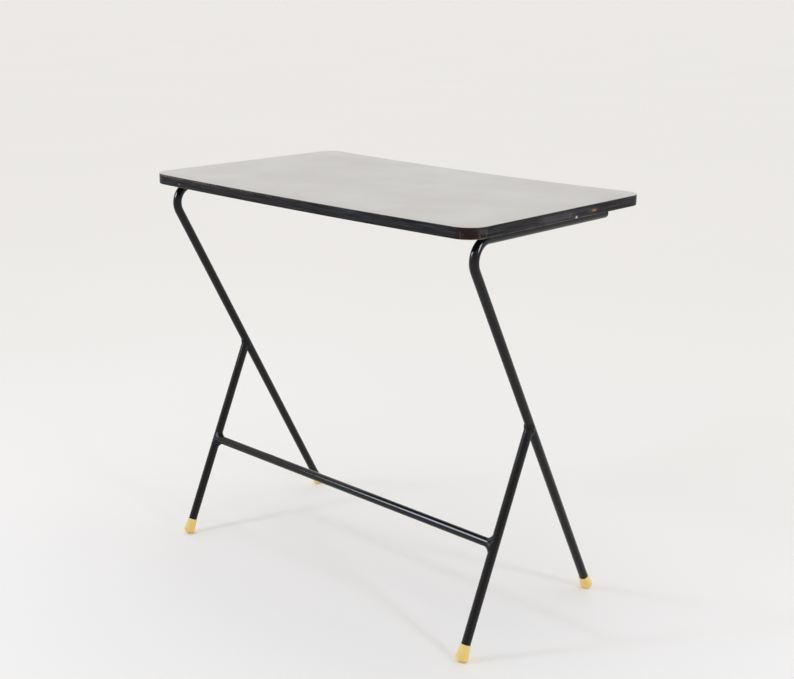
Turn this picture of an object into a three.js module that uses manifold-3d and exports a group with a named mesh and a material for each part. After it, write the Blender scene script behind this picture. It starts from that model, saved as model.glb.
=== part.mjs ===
// Typewriter table: a laminate-faced board on a welded frame of bent steel tube.
// Millimetres. The origin is on the floor under the middle of the top, +X runs along the
// long side, +Y to the back (the side where the rails end) and +Z up.

import * as THREE from 'three';
import { mergeVertices } from 'three/addons/utils/BufferGeometryUtils.js';
import Module from 'manifold-3d';

const wasm = await Module();
wasm.setup();

// Table top
const TABLE_HEIGHT = 670;
const TOP_LENGTH = 700;
const TOP_DEPTH = 430;
const TOP_CORNER_RADIUS = 32;
const LAMINATE_THICKNESS = 1;
const CORE_THICKNESS = 16;
const EDGE_STRIP_THICKNESS = 2;
const EDGE_STRIP_JOINT = 0.4;
const GLUE_LINE = 0.1;

// Steel tube and how it is bent
const TUBE_DIAMETER = 14;
const TUBE_WALL = 1.5;
const BEND_RADIUS = 29;
const FIT_GAP = 0.3;

// Side frames, measured from the underside and edges of the top and from the floor
const RAIL_GAP = 0.8;
const SIDE_INSET = 23;
const BEND_SETBACK = 28;
const RAIL_END_SETBACK = 74.5;
const REAR_FOOT_SETBACK = 60.3;
const FRONT_FOOT_SETBACK = 31.6;
const BRANCH_HEIGHT = 340.5;
const STRETCHER_HEIGHT = 167.3;

// Weld beads: how far they spread from the tubes' corner and stand proud of their sides
const BRANCH_WELD = 2;
const STRETCHER_WELD = 4.5;
const WELD_CROWN = 0.7;

// Push-on feet
const FOOT_LENGTH = 25.6;
const FOOT_FLARE = 1.5;
const FOOT_RIM_WALL = 0.9;
const FOOT_SOLE = 5;
const FOOT_EDGE_RADIUS = 4.5;
const FOOT_WEAR = 0.6;

// Rail end plugs
const PLUG_HEAD = 3;
const PLUG_STEM = 10;
const PLUG_EDGE_RADIUS = 2.5;

// Wood screws
const SCREWS_PER_RAIL = 3;
const SCREW_DIAMETER = 3.5;
const SCREW_HEAD_DIAMETER = 7;
const SCREW_HEAD_HEIGHT = 2.6;
const SCREW_SLOT_WIDTH = 1;
const SCREW_SLOT_DEPTH = 1.2;
const SCREW_TIP_LENGTH = 4;
const SCREW_TIP_COVER = 4;
const DRIVER_CLEARANCE = 0.75;

// Facets of round shapes, and how far a cutting shape runs past what it cuts
const TUBE_SIDES = 20;
const BEND_STEPS = 10;
const TURNED_SIDES = 20;
const SCREW_SIDES = 12;
const CORNER_STEPS = 5;
const EDGE_STEPS = 4;
const OVERCUT = 5;

// Levels and places that follow from the sizes above
const tubeRadius = TUBE_DIAMETER / 2;
const boreRadius = tubeRadius - TUBE_WALL;
const coreTop = TABLE_HEIGHT - LAMINATE_THICKNESS - GLUE_LINE;
const underside = coreTop - CORE_THICKNESS;
const railHeight = underside - RAIL_GAP - tubeRadius;
const frontEdge = -TOP_DEPTH / 2;
const backEdge = TOP_DEPTH / 2;
const sidePlane = TOP_LENGTH / 2 - SIDE_INSET;
const coreEdge = EDGE_STRIP_THICKNESS + GLUE_LINE;

const bendCentre = new THREE.Vector3(
  0,
  frontEdge + BEND_SETBACK + tubeRadius + BEND_RADIUS,
  railHeight - BEND_RADIUS,
);
const rearFloorPoint = new THREE.Vector3(0, backEdge - REAR_FOOT_SETBACK, 0);
const frontFloorPoint = new THREE.Vector3(0, frontEdge + FRONT_FOOT_SETBACK, 0);
const railStart = new THREE.Vector3(0, bendCentre.y, railHeight);
const railEnd = new THREE.Vector3(0, backEdge - RAIL_END_SETBACK - PLUG_HEAD - FIT_GAP, railHeight);
const bendTurn = legTangentAngle();
const legStart = pointOnBend(bendTurn);
const branchPoint = pointAtHeight(rearFloorPoint, legStart, BRANCH_HEIGHT);
const stretcherPoint = pointAtHeight(frontFloorPoint, branchPoint, STRETCHER_HEIGHT);
const rearFoot = footPlace(rearFloorPoint, legStart);
const frontFoot = footPlace(frontFloorPoint, branchPoint);
const screwRows = middlesOfEqualStretches(railStart.y, railEnd.y, SCREWS_PER_RAIL);
const screwSeat = railHeight + Math.sqrt(boreRadius ** 2 - (SCREW_HEAD_DIAMETER / 2) ** 2) - FIT_GAP;
const screwTip = coreTop - SCREW_TIP_COVER;

// Angle round the bend, from the rail, at which the leg leaves it straight for the rear foot.
function legTangentAngle() {
  const toFoot = rearFloorPoint.clone().sub(bendCentre);
  const footAngle = Math.atan2(-toFoot.z, toFoot.y);
  const tangentAngle = Math.acos(BEND_RADIUS / toFoot.length());
  return 1.5 * Math.PI - footAngle - tangentAngle;
}

// Point on the bend's centre line, turned by an angle from the end of the rail.
function pointOnBend(turn) {
  const offset = new THREE.Vector3(0, -Math.sin(turn), Math.cos(turn));
  return offset.multiplyScalar(BEND_RADIUS).add(bendCentre);
}

function pointAtHeight(bottom, top, height) {
  return bottom.clone().lerp(top, (height - bottom.z) / (top.z - bottom.z));
}

function middlesOfEqualStretches(start, end, count) {
  const stretch = (end - start) / count;
  return Array.from({ length: count }, (_, i) => start + (i + 0.5) * stretch);
}

// Where a foot sits on its leg: the middle of its base, the way up the leg, and the tube's end.
// The base is square to the leg, so it stands on the low side of its rounded edge.
function footPlace(floorPoint, legTop) {
  const up = legTop.clone().sub(floorPoint).normalize();
  const lean = Math.hypot(up.x, up.y);
  const flatRadius = footRadius() - FOOT_EDGE_RADIUS;
  const reachBelow = flatRadius * lean + FOOT_EDGE_RADIUS * (1 - up.z);
  const base = floorPoint.clone().addScaledVector(up, (reachBelow - FOOT_WEAR) / up.z);
  const tubeEnd = base.clone().addScaledVector(up, FOOT_SOLE + FIT_GAP);
  return { base, up, tubeEnd };
}

function rimRadius() {
  return tubeRadius + FIT_GAP + FOOT_RIM_WALL;
}

function footRadius() {
  return rimRadius() + FOOT_FLARE;
}

// A closed three.js geometry as a solid that can be joined and cut.
function solidOf(geometry) {
  geometry.deleteAttribute('normal');
  geometry.deleteAttribute('uv');
  const merged = mergeVertices(geometry);
  return new wasm.Manifold(new wasm.Mesh({
    numProp: 3,
    vertProperties: new Float32Array(merged.attributes.position.array),
    triVerts: new Uint32Array(merged.index.array),
  }));
}

function geometryOf(solid) {
  const { vertProperties, triVerts } = solid.getMesh();
  const geometry = new THREE.BufferGeometry();
  geometry.setAttribute('position', new THREE.BufferAttribute(vertProperties, 3));
  geometry.setIndex(new THREE.BufferAttribute(triVerts, 1));
  geometry.computeVertexNormals();
  return geometry;
}

function named(name, solid, material) {
  const mesh = new THREE.Mesh(geometryOf(solid), material);
  mesh.name = name;
  return mesh;
}

// Finishes, with the colours of the photographed table
function laminateFinish() {
  return new THREE.MeshStandardMaterial({ color: 0xcfcdc8, roughness: 0.4, metalness: 0 });
}

function stainedPlywoodFinish() {
  return new THREE.MeshStandardMaterial({ color: 0x463428, roughness: 0.7, metalness: 0 });
}

function blackedWoodFinish() {
  return new THREE.MeshStandardMaterial({ color: 0x2b2a2c, roughness: 0.5, metalness: 0 });
}

function blackEnamelFinish() {
  return new THREE.MeshStandardMaterial({ color: 0x141416, roughness: 0.25, metalness: 0 });
}

function yellowedVinylFinish() {
  return new THREE.MeshStandardMaterial({ color: 0xe6cb80, roughness: 0.5, metalness: 0 });
}

function blackPlasticFinish() {
  return new THREE.MeshStandardMaterial({ color: 0x1a1a1b, roughness: 0.5, metalness: 0 });
}

function steelFinish() {
  return new THREE.MeshStandardMaterial({ color: 0xa8a6a0, roughness: 0.4, metalness: 1 });
}

// Shapes that several pieces share

// Slab with rounded corners, drawn in by an inset all round, from one height to another.
function roundedSlab(inset, bottom, top) {
  const x = TOP_LENGTH / 2 - inset;
  const y = TOP_DEPTH / 2 - inset;
  const radius = TOP_CORNER_RADIUS - inset;
  const quarter = Math.PI / 2;
  const outline = new THREE.Shape();
  outline.absarc(x - radius, y - radius, radius, 0, quarter);
  outline.absarc(radius - x, y - radius, radius, quarter, 2 * quarter);
  outline.absarc(radius - x, radius - y, radius, 2 * quarter, 3 * quarter);
  outline.absarc(x - radius, radius - y, radius, 3 * quarter, 4 * quarter);
  const slab = new THREE.ExtrudeGeometry(outline, {
    depth: top - bottom,
    bevelEnabled: false,
    curveSegments: CORNER_STEPS,
  });
  return solidOf(slab.translate(0, 0, bottom));
}

// Turns a shape made along +Y so that it stands on a point and runs in a direction.
function standing(geometry, point, direction) {
  const turn = new THREE.Quaternion().setFromUnitVectors(new THREE.Vector3(0, 1, 0), direction);
  return geometry.applyQuaternion(turn).translate(point.x, point.y, point.z);
}

function rod(from, to, radius, sides = TUBE_SIDES) {
  const along = to.clone().sub(from);
  const length = along.length();
  const cylinder = new THREE.CylinderGeometry(radius, radius, length, sides);
  cylinder.translate(0, length / 2, 0);
  return solidOf(standing(cylinder, from, along.normalize()));
}

// Turned shape from its profile of (radius, height) points, standing on a point.
function turned(profile, point, direction, sides = TURNED_SIDES) {
  const lathe = new THREE.LatheGeometry(profile, sides);
  return solidOf(standing(lathe, point, direction));
}

// Profile points of a rounded edge: a quarter ellipse between two angles.
function roundedEdge(centreRadius, centreHeight, across, along, fromAngle, toAngle) {
  const arc = new THREE.EllipseCurve(centreRadius, centreHeight, across, along, fromAngle, toAngle);
  return arc.getPoints(EDGE_STEPS);
}

// Table top: laminate facing, board core and edge strip

function topLaminate() {
  const sheet = roundedSlab(0, TABLE_HEIGHT - LAMINATE_THICKNESS, TABLE_HEIGHT);
  return named('top_laminate', sheet, laminateFinish());
}

function topBoard() {
  let core = roundedSlab(coreEdge, underside, coreTop);
  for (const side of [-1, 1]) {
    for (const y of screwRows) {
      const mouth = new THREE.Vector3(side * sidePlane, y, underside - OVERCUT);
      const bottom = mouth.clone().setZ(screwTip + FIT_GAP);
      core = core.subtract(rod(mouth, bottom, SCREW_DIAMETER / 2 + FIT_GAP, SCREW_SIDES));
    }
  }
  return named('top_board', core, stainedPlywoodFinish());
}

// The strip is bent round the core and butts at the middle of the back edge.
function edgeStrip() {
  const outer = roundedSlab(0, underside, coreTop);
  const inner = roundedSlab(EDGE_STRIP_THICKNESS, underside - OVERCUT, coreTop + OVERCUT);
  const jointDepth = 2 * (EDGE_STRIP_THICKNESS + OVERCUT);
  const jointHeight = 2 * (CORE_THICKNESS + OVERCUT);
  const joint = new THREE.BoxGeometry(EDGE_STRIP_JOINT, jointDepth, jointHeight);
  joint.translate(0, backEdge, coreTop);
  return named('edge_strip', outer.subtract(inner).subtract(solidOf(joint)), blackedWoodFinish());
}

// Tube frame

// Centre line of a leg tube: rail, bend, then leg. The bend takes all steps but the two straight ones.
class LegPath extends THREE.Curve {
  constructor(rearEnd, footEnd) {
    super();
    this.rearEnd = rearEnd;
    this.footEnd = footEnd;
  }

  getPoint(t) {
    const step = t * (BEND_STEPS + 2);
    if (step < 1) {
      return this.rearEnd.clone().lerp(railStart, step);
    }
    if (step > BEND_STEPS + 1) {
      return legStart.clone().lerp(this.footEnd, step - BEND_STEPS - 1);
    }
    return pointOnBend((bendTurn * (step - 1)) / BEND_STEPS);
  }

  getPointAt(u) {
    return this.getPoint(u);
  }

  getTangentAt(u) {
    return this.getTangent(u);
  }
}

function bentRod(rearEnd, footEnd, radius) {
  const circle = new THREE.Shape().absarc(0, 0, radius, 0, 2 * Math.PI);
  return solidOf(new THREE.ExtrudeGeometry(circle, {
    extrudePath: new LegPath(rearEnd, footEnd),
    steps: BEND_STEPS + 2,
    curveSegments: TUBE_SIDES / 2,
  }));
}

function legTube(name) {
  const beyondRail = railEnd.clone().add(new THREE.Vector3(0, OVERCUT, 0));
  const beyondLeg = rearFoot.tubeEnd.clone().addScaledVector(rearFoot.up, -OVERCUT);
  let tube = bentRod(railEnd, rearFoot.tubeEnd, tubeRadius);
  tube = tube.subtract(bentRod(beyondRail, beyondLeg, boreRadius));
  for (const y of screwRows) {
    const axis = new THREE.Vector3(0, y, railHeight);
    const above = axis.clone().setZ(underside);
    const below = axis.clone().setZ(railHeight - tubeRadius - OVERCUT);
    tube = tube.subtract(rod(axis, above, SCREW_DIAMETER / 2 + FIT_GAP, SCREW_SIDES));
    tube = tube.subtract(rod(below, axis, SCREW_HEAD_DIAMETER / 2 + DRIVER_CLEARANCE, SCREW_SIDES));
  }
  return named(name, tube, blackEnamelFinish());
}

// The stretch of leg tube around the branch, as a plain rod grown by a margin.
function legRod(margin) {
  return rod(rearFoot.tubeEnd, legStart, tubeRadius + margin);
}

function frontLegRod(margin) {
  return rod(frontFoot.tubeEnd, branchPoint, tubeRadius + margin);
}

function frontLeg(name) {
  const beyond = frontFoot.tubeEnd.clone().addScaledVector(frontFoot.up, -OVERCUT);
  const tube = frontLegRod(0).subtract(rod(beyond, branchPoint, boreRadius));
  return named(name, tube.subtract(legRod(FIT_GAP)), blackEnamelFinish());
}

// Bead of weld metal in the corner all round where one tube ends on another. It is full in the
// corners and nearly flush on the two sides where the tubes' surfaces run level.
function weldBead(name, size, throughTube, endingTube, middle, sideways) {
  const corner = throughTube(size).intersect(endingTube(size));
  const bead = corner.subtract(throughTube(FIT_GAP)).subtract(endingTube(FIT_GAP));
  const span = 4 * (TUBE_DIAMETER + size);
  const slab = new THREE.BoxGeometry(span, TUBE_DIAMETER + 2 * (FIT_GAP + WELD_CROWN), span);
  return named(name, bead.intersect(solidOf(standing(slab, middle, sideways))), blackEnamelFinish());
}

function foot(name, place) {
  const socketRadius = tubeRadius + FIT_GAP;
  const round = FOOT_EDGE_RADIUS;
  const profile = [
    new THREE.Vector2(0, 0),
    ...roundedEdge(footRadius() - round, round, round, round, -Math.PI / 2, 0),
    new THREE.Vector2(rimRadius(), FOOT_LENGTH),
    new THREE.Vector2(socketRadius, FOOT_LENGTH),
    new THREE.Vector2(socketRadius, FOOT_SOLE),
    new THREE.Vector2(0, FOOT_SOLE),
  ];
  const whole = turned(profile, place.base, place.up);
  const span = 4 * footRadius();
  const floor = new THREE.BoxGeometry(span, span, span);
  floor.translate(place.base.x, place.base.y, -span / 2);
  return named(name, whole.subtract(solidOf(floor)), yellowedVinylFinish());
}

// Plug with a stem inside the tube and a rounded head over its end.
function railPlug(name) {
  const stemRadius = boreRadius - FIT_GAP;
  const headFace = PLUG_STEM + FIT_GAP;
  const round = PLUG_EDGE_RADIUS;
  const profile = [
    new THREE.Vector2(0, 0),
    new THREE.Vector2(stemRadius, 0),
    new THREE.Vector2(stemRadius, headFace),
    new THREE.Vector2(tubeRadius, headFace),
    ...roundedEdge(tubeRadius - round, headFace + PLUG_HEAD - round, round, round, 0, Math.PI / 2),
    new THREE.Vector2(0, headFace + PLUG_HEAD),
  ];
  const stemEnd = railEnd.clone().add(new THREE.Vector3(0, -PLUG_STEM, 0));
  const alongRail = new THREE.Vector3(0, 1, 0);
  return named(name, turned(profile, stemEnd, alongRail), blackPlasticFinish());
}

// Slotted round-head screw. Its head bears on the inside of the rail's upper wall.
function woodScrew(name, y) {
  const shankRadius = SCREW_DIAMETER / 2;
  const length = screwTip - screwSeat + SCREW_HEAD_HEIGHT;
  const profile = [
    ...roundedEdge(0, SCREW_HEAD_HEIGHT, SCREW_HEAD_DIAMETER / 2, SCREW_HEAD_HEIGHT, -Math.PI / 2, 0),
    new THREE.Vector2(shankRadius, SCREW_HEAD_HEIGHT),
    new THREE.Vector2(shankRadius, length - SCREW_TIP_LENGTH),
    new THREE.Vector2(0, length),
  ];
  const headFace = new THREE.Vector3(0, y, screwSeat - SCREW_HEAD_HEIGHT);
  const upward = new THREE.Vector3(0, 0, 1);
  const slot = new THREE.BoxGeometry(SCREW_SLOT_WIDTH, 2 * SCREW_HEAD_DIAMETER, 2 * SCREW_SLOT_DEPTH);
  slot.translate(headFace.x, headFace.y, headFace.z);
  const screw = turned(profile, headFace, upward, SCREW_SIDES).subtract(solidOf(slot));
  return named(name, screw, steelFinish());
}

function branchWeld(name) {
  const sideways = new THREE.Vector3(1, 0, 0);
  return weldBead(name, BRANCH_WELD, legRod, frontLegRod, branchPoint, sideways);
}

function stretcherWeld(name, inward) {
  const along = new THREE.Vector3(inward, 0, 0);
  const sideways = along.clone().cross(frontFoot.up);
  const stub = TUBE_DIAMETER + STRETCHER_WELD;
  const stubEnd = stretcherPoint.clone().addScaledVector(along, stub);
  const stretcherStub = (margin) => rod(stretcherPoint, stubEnd, tubeRadius + margin);
  return weldBead(name, STRETCHER_WELD, frontLegRod, stretcherStub, stretcherPoint, sideways);
}

// One side frame in its own plane, with the stretcher's weld on the side that faces inward.
function sideFrame(side, inward) {
  const frame = new THREE.Group();
  frame.add(
    legTube(`${side}_leg_tube`),
    frontLeg(`${side}_front_leg`),
    branchWeld(`${side}_branch_weld`),
    stretcherWeld(`${side}_stretcher_weld`, inward),
    foot(`${side}_rear_foot`, rearFoot),
    foot(`${side}_front_foot`, frontFoot),
    railPlug(`${side}_rail_plug`),
  );
  screwRows.forEach((y, i) => frame.add(woodScrew(`${side}_screw_${i + 1}`, y)));
  frame.position.x = -inward * sidePlane;
  return frame;
}

function stretcher() {
  const leftEnd = stretcherPoint.clone().setX(-sidePlane);
  const rightEnd = stretcherPoint.clone().setX(sidePlane);
  let tube = rod(leftEnd, rightEnd, tubeRadius).subtract(rod(leftEnd, rightEnd, boreRadius));
  for (const x of [-sidePlane, sidePlane]) {
    tube = tube.subtract(frontLegRod(FIT_GAP).translate([x, 0, 0]));
  }
  return named('stretcher', tube, blackEnamelFinish());
}

const table = new THREE.Group();
table.add(
  topLaminate(),
  topBoard(),
  edgeStrip(),
  sideFrame('left', 1),
  sideFrame('right', -1),
  stretcher(),
);

export default table;
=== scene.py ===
import math

import bpy
import numpy as np
from mathutils import Matrix, Vector


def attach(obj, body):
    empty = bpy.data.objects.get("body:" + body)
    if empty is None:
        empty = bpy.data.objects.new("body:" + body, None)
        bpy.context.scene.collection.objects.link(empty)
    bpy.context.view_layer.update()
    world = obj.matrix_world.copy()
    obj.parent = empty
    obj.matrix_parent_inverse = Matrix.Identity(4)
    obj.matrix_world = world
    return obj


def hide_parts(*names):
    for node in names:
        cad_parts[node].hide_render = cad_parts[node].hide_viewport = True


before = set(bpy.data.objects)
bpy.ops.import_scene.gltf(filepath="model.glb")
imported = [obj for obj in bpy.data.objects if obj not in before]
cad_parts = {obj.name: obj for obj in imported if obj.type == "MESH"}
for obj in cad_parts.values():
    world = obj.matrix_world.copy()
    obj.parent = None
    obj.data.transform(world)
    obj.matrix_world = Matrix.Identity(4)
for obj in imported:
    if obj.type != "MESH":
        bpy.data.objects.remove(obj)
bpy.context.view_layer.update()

# Camera: it stands off the table's right front corner and looks down on it a little, tilted sideways
# by less than a degree, with the slightly long lens that the photograph was taken with.
camera_place = Vector((1.360941, -1.474140, 0.982654))
azimuth, elevation, roll = (math.radians(angle) for angle in (42.2515, 16.1231, 0.7696))
focal_length_px, image_width_px, sensor_width_mm = 1231.1, 794, 36
level_right = Vector((math.cos(azimuth), math.sin(azimuth), 0))
backward = Vector((math.sin(azimuth) * math.cos(elevation), -math.cos(azimuth) * math.cos(elevation),
                   math.sin(elevation)))
level_up = backward.cross(level_right)
right = math.cos(roll) * level_right + math.sin(roll) * level_up
up = math.cos(roll) * level_up - math.sin(roll) * level_right


def new_object(name, data):
    made = bpy.data.objects.new(name, data)
    bpy.context.collection.objects.link(made)
    return made


camera = new_object("camera", bpy.data.cameras.new("camera"))
camera.data.sensor_fit = "HORIZONTAL"
camera.data.sensor_width = sensor_width_mm
camera.data.lens = sensor_width_mm * focal_length_px / image_width_px
camera.data.clip_end = 500
turned_to_table = Matrix((right, up, backward)).transposed().to_4x4()
camera.matrix_world = Matrix.Translation(camera_place) @ turned_to_table
bpy.context.scene.camera = camera
bpy.context.scene.view_settings.view_transform = "Standard"


# Studio: a plain pale floor that runs out of sight, soft light from all round that is dimmer from the
# room behind the camera, a lamp on each side for the faint leg shadows, and lit cards for the gloss.
def linear(hex_colour):
    channels = [int(hex_colour[i:i + 2], 16) / 255 for i in (1, 3, 5)]
    return [c / 12.92 if c <= 0.04045 else ((c + 0.055) / 1.055) ** 2.4 for c in channels] + [1]


def node(tree, kind, inputs=None, **settings):
    made = tree.nodes.new(kind)
    for key, value in settings.items():
        setattr(made, key, value)
    for key, value in (inputs or {}).items():
        if isinstance(value, bpy.types.NodeSocket):
            tree.links.new(value, made.inputs[key])
        else:
            made.inputs[key].default_value = value
    return made


def new_material(name):
    material = bpy.data.materials.new(name)
    material.use_nodes = True
    material.node_tree.nodes.clear()
    return material, material.node_tree


world = bpy.data.worlds.new("studio")
bpy.context.scene.world = world
world.use_nodes = True
tree = world.node_tree
tree.nodes.clear()
room_side = Vector((0.52, -0.57, 0.64)).normalized()
open_light, room_light = 1.07, 0.6
direction = node(tree, "ShaderNodeTexCoord")
toward_room = node(tree, "ShaderNodeVectorMath", {
    0: direction.outputs["Generated"], 1: room_side}, operation="DOT_PRODUCT")
level = node(tree, "ShaderNodeMapRange", {
    "Value": toward_room.outputs["Value"], "From Min": 0.3, "From Max": 0.9, "To Min": open_light,
    "To Max": room_light}, interpolation_type="SMOOTHSTEP")
sky = node(tree, "ShaderNodeBackground", {"Color": linear("#f9f8f7"), "Strength": level.outputs[0]})
node(tree, "ShaderNodeOutputWorld", {"Surface": sky.outputs[0]})

for name, place, aim, width, tall, power, reflection_only in (
        ("left_lamp", (-1.0, -1.4, 1.7), (0, -0.1, 0.2), 0.22, 0.22, 6.0, False),
        ("right_lamp", (2.0, -0.1, 1.25), (0.1, -0.1, 0.2), 0.22, 0.22, 6.0, False),
        ("left_card", (-1.12, -1.62, 1.6), (0, -0.1, 0.3), 0.9, 0.95, 56.0, True),
        ("right_card", (2.0, 0.0, 1.5), (0.3, -0.2, 0.6), 0.5, 1.2, 52.0, True)):
    lamp = new_object(name, bpy.data.lights.new(name, "AREA"))
    lamp.data.shape = "RECTANGLE"
    lamp.data.size, lamp.data.size_y = width, tall
    lamp.data.energy = power
    lamp.data.color = linear("#dfe9ff")[:3]
    lamp.location = place
    lamp.rotation_euler = (Vector(aim) - Vector(place)).to_track_quat("-Z", "Y").to_euler()
    lamp.visible_camera = False
    lamp.visible_diffuse = not reflection_only
    lamp.visible_glossy = reflection_only

# Matt paper: near white and faintly clouded. A slight glow of its own, which only the eye and reflections
# meet, makes it look as pale as a lit backdrop without putting more light on the table.
paper, tree = new_material("matt_white_paper")
cloud_size, paper_glow = 1.25, 0.05
coords = node(tree, "ShaderNodeTexCoord")
clouds = node(tree, "ShaderNodeTexNoise", {
    "Vector": coords.outputs["Object"], "Scale": 1 / cloud_size, "Detail": 2})
tone = node(tree, "ShaderNodeMix", {
    0: clouds.outputs["Fac"], 6: linear("#f6f4f1"), 7: linear("#f9f7f4")}, data_type="RGBA")
shader = node(tree, "ShaderNodeBsdfPrincipled", {
    "Base Color": tone.outputs[2], "Roughness": 0.9, "Specular IOR Level": 0.2})
seen = node(tree, "ShaderNodeLightPath")
seen_or_mirrored = node(tree, "ShaderNodeMath", {
    0: seen.outputs["Is Camera Ray"], 1: seen.outputs["Is Glossy Ray"]}, operation="MAXIMUM")
any_view = node(tree, "ShaderNodeMath", {
    0: seen_or_mirrored.outputs[0], 1: seen.outputs["Is Transmission Ray"]}, operation="MAXIMUM")
lift = node(tree, "ShaderNodeMath", {0: any_view.outputs[0], 1: paper_glow}, operation="MULTIPLY")
paleness = node(tree, "ShaderNodeEmission", {"Strength": lift.outputs[0]})
pale_paper = node(tree, "ShaderNodeAddShader", {0: shader.outputs[0], 1: paleness.outputs[0]})
node(tree, "ShaderNodeOutputMaterial", {"Surface": pale_paper.outputs[0]})
floor_reach = 120
floor_corners = [(x * floor_reach, y * floor_reach, 0) for x, y in ((-1, -1), (1, -1), (1, 1), (-1, 1))]
floor_mesh = bpy.data.meshes.new("floor")
floor_mesh.from_pydata(floor_corners, [], [(0, 1, 2, 3)])
floor_mesh.materials.append(paper)
new_object("floor", floor_mesh)


# Laminate facing: one sheet of pale grey high-pressure laminate, 1 mm thick, glued over the
# whole board and filed flush with its edge. The board has sagged a few millimetres between the rails.
half_length, half_depth, corner_radius = 0.350, 0.215, 0.032
top_surface, laminate_thickness = 0.670, 0.001
rail_plane = 0.327
front_sag, back_sag = 0.0019, 0.0036


def sagged(points):
    bent = np.array(points, float)
    x, y = bent[:, 0], bent[:, 1]
    depth = front_sag + (back_sag - front_sag) * (y + half_depth) / (2 * half_depth)
    bent[:, 2] -= depth * (1 - (x / rail_plane) ** 2)
    return bent


# Points of the top's outline with their outward directions, from the middle of the back and clockwise as
# seen from above.
def top_outline(straight_step, corner_steps):
    x, y = half_length - corner_radius, half_depth - corner_radius
    rim = []
    corners = [(x, y, 0), (x, -y, -90), (-x, -y, -180), (-x, y, -270)]
    start = Vector((0, half_depth))
    for cx, cy, turn in corners:
        angles = [math.radians(90 + turn - 90 * k / corner_steps) for k in range(corner_steps + 1)]
        first = Vector((cx + corner_radius * math.cos(angles[0]), cy + corner_radius * math.sin(angles[0])))
        steps = max(2, round((first - start).length / straight_step))
        facing = Vector((math.cos(angles[0]), math.sin(angles[0])))
        rim += [(*start.lerp(first, k / steps), *facing) for k in range(steps)]
        rim += [(cx + corner_radius * math.cos(a), cy + corner_radius * math.sin(a), math.cos(a), math.sin(a))
                for a in angles[:-1]]
        start = Vector((cx + corner_radius * math.cos(angles[-1]), cy + corner_radius * math.sin(angles[-1])))
    steps = max(2, round(-start.x / straight_step))
    rim += [(*start.lerp(Vector((0, half_depth)), k / steps), 0, 1) for k in range(steps)]
    return np.array(rim)


def smooth(mesh, sharp_angle):
    mesh.polygons.foreach_set("use_smooth", [True] * len(mesh.polygons))
    mesh.set_sharp_from_angle(angle=math.radians(sharp_angle))


# A slab of the top's outline: rings from (inset, height) pairs down its edge, and flat faces that
# close it above and below as rings drawn in to the middle.
def top_slab(name, profile, straight_step, corner_steps):
    rim = top_outline(straight_step, corner_steps)
    count = len(rim)
    drawn_in = [0.3, 0.6, 0.85]
    rings = [(share, *profile[0]) for share in drawn_in] + [(1, *pair) for pair in profile]
    rings += [(share, *profile[-1]) for share in reversed(drawn_in)]
    points = np.concatenate([
        np.column_stack([(rim[:, :2] - inset * rim[:, 2:]) * share, np.full(count, height)])
        for share, inset, height in rings])
    faces = []
    for ring in range(len(rings) - 1):
        for k in range(count):
            a, b = ring * count + k, ring * count + (k + 1) % count
            faces.append((a, b, b + count, a + count))
    top_height, bottom_height = profile[0][1], profile[-1][1]
    centre_top, centre_bottom = len(points), len(points) + 1
    points = np.vstack([points, [0, 0, top_height], [0, 0, bottom_height]])
    last = (len(rings) - 1) * count
    for k in range(count):
        faces.append((centre_top, (k + 1) % count, k))
        faces.append((centre_bottom, last + k, last + (k + 1) % count))
    mesh = bpy.data.meshes.new(name)
    mesh.from_pydata(sagged(points).tolist(), [], faces)
    below_top = (top_height - points[:, 2]).astype(np.float32)
    mesh.attributes.new("below_top", "FLOAT", "POINT").data.foreach_set("value", below_top)
    smooth(mesh, sharp_angle=50)
    return mesh


# High-pressure laminate, pressed satin: a pale warm grey that has gone a little uneven, with wiped
# smudges that change its sheen; its filed edge shows the brown-black resin paper under the face.
laminate, tree = new_material("satin_laminate")
coords = node(tree, "ShaderNodeTexCoord")
smudge_size = 0.11
smudges = node(tree, "ShaderNodeTexNoise", {
    "Vector": coords.outputs["Object"], "Scale": 1 / smudge_size, "Detail": 4, "Roughness": 0.55})
smudge_tone = node(tree, "ShaderNodeMapRange", {
    "Value": smudges.outputs["Fac"], "From Min": 0.35, "From Max": 0.7})
grey = node(tree, "ShaderNodeMix", {
    0: smudge_tone.outputs[0], 6: linear("#cac7c1"), 7: linear("#c5c1bb")}, data_type="RGBA")
speck_spacing = 0.012
specks = node(tree, "ShaderNodeTexVoronoi", {"Vector": coords.outputs["Object"], "Scale": 1 / speck_spacing})
speck_mask = node(tree, "ShaderNodeMapRange", {
    "Value": specks.outputs["Distance"], "From Min": 0.05, "From Max": 0.035, "To Max": 0.35})
speckled = node(tree, "ShaderNodeMix", {
    0: speck_mask.outputs[0], 6: grey.outputs[2], 7: linear("#8d8880")}, data_type="RGBA")
sheen_change = node(tree, "ShaderNodeMapRange", {
    "Value": smudges.outputs["Fac"], "From Min": 0.3, "From Max": 0.7, "To Min": 0.36, "To Max": 0.46})
face_depth = 0.00032
depth = node(tree, "ShaderNodeAttribute", attribute_name="below_top")
edge_part = node(tree, "ShaderNodeMath", {0: depth.outputs["Fac"], 1: face_depth}, operation="GREATER_THAN")
faced = node(tree, "ShaderNodeMix", {
    0: edge_part.outputs[0], 6: speckled.outputs[2], 7: linear("#1d1613")}, data_type="RGBA")
grain_size = 0.0015
pressed_grain = node(tree, "ShaderNodeTexNoise", {
    "Vector": coords.outputs["Object"], "Scale": 1 / grain_size})
bump = node(tree, "ShaderNodeBump", {
    "Height": pressed_grain.outputs["Fac"], "Strength": 0.03, "Distance": 0.0004})
shader = node(tree, "ShaderNodeBsdfPrincipled", {
    "Base Color": faced.outputs[2], "IOR": 1.5, "Roughness": sheen_change.outputs[0],
    "Normal": bump.outputs[0]})
node(tree, "ShaderNodeOutputMaterial", {"Surface": shader.outputs[0]})

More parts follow.
